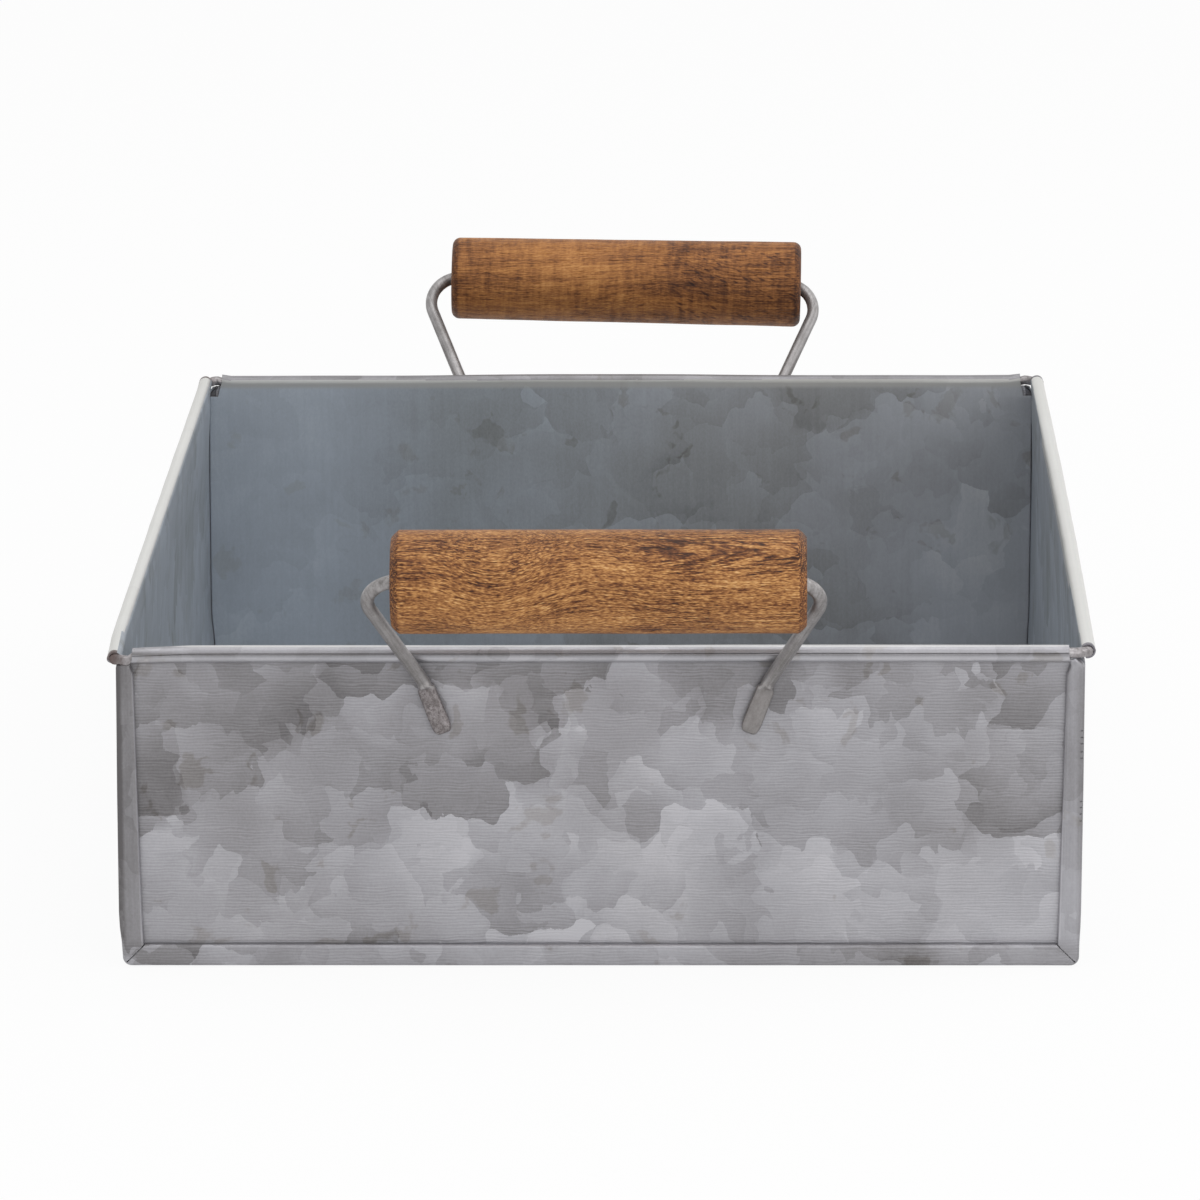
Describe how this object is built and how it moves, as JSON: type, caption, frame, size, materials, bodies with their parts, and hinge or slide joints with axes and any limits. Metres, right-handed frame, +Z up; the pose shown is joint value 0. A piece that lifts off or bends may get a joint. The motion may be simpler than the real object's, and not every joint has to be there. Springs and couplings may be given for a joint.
{
  "type": "galvanized tray",
  "caption": "Rectangular galvanized sheet steel tray with folded end seams, a wired rolled rim and bent wire end handles that carry turned wooden grips.",
  "frame": {"origin": "on the table, under the middle of the tray", "axes": "+Y along the tray's length, away from the front handle; +X to the right seen from the front; +Z up"},
  "size_m": [0.262, 0.4399, 0.1256],
  "materials": {
    "galvanized_sheet": "hot-dip galvanized sheet with large spangle, matte",
    "wire_steel": "plain drawn steel wire, satin",
    "grip_wood": "oiled hardwood with dark lengthwise grain"
  },
  "bodies": {
    "tray": {"body_sheet": "galvanized_sheet", "front_end_panel": "galvanized_sheet", "back_end_panel": "galvanized_sheet", "rim_wire": "wire_steel", "front_handle_wire": "wire_steel", "back_handle_wire": "wire_steel"},
    "front_grip": {"front_grip": "grip_wood"},
    "back_grip": {"back_grip": "grip_wood"}
  },
  "joints": [
    {"name": "front_grip_turn", "type": "hinge", "parent": "tray", "child": "front_grip", "pos_m": [0.0007, -0.2068, 0.1116], "axis": [1, 0, 0], "continuous": true},
    {"name": "back_grip_turn", "type": "hinge", "parent": "tray", "child": "back_grip", "pos_m": [0.0018, 0.2068, 0.11157], "axis": [0.9998, 0, -0.0209], "continuous": true}
  ]
}
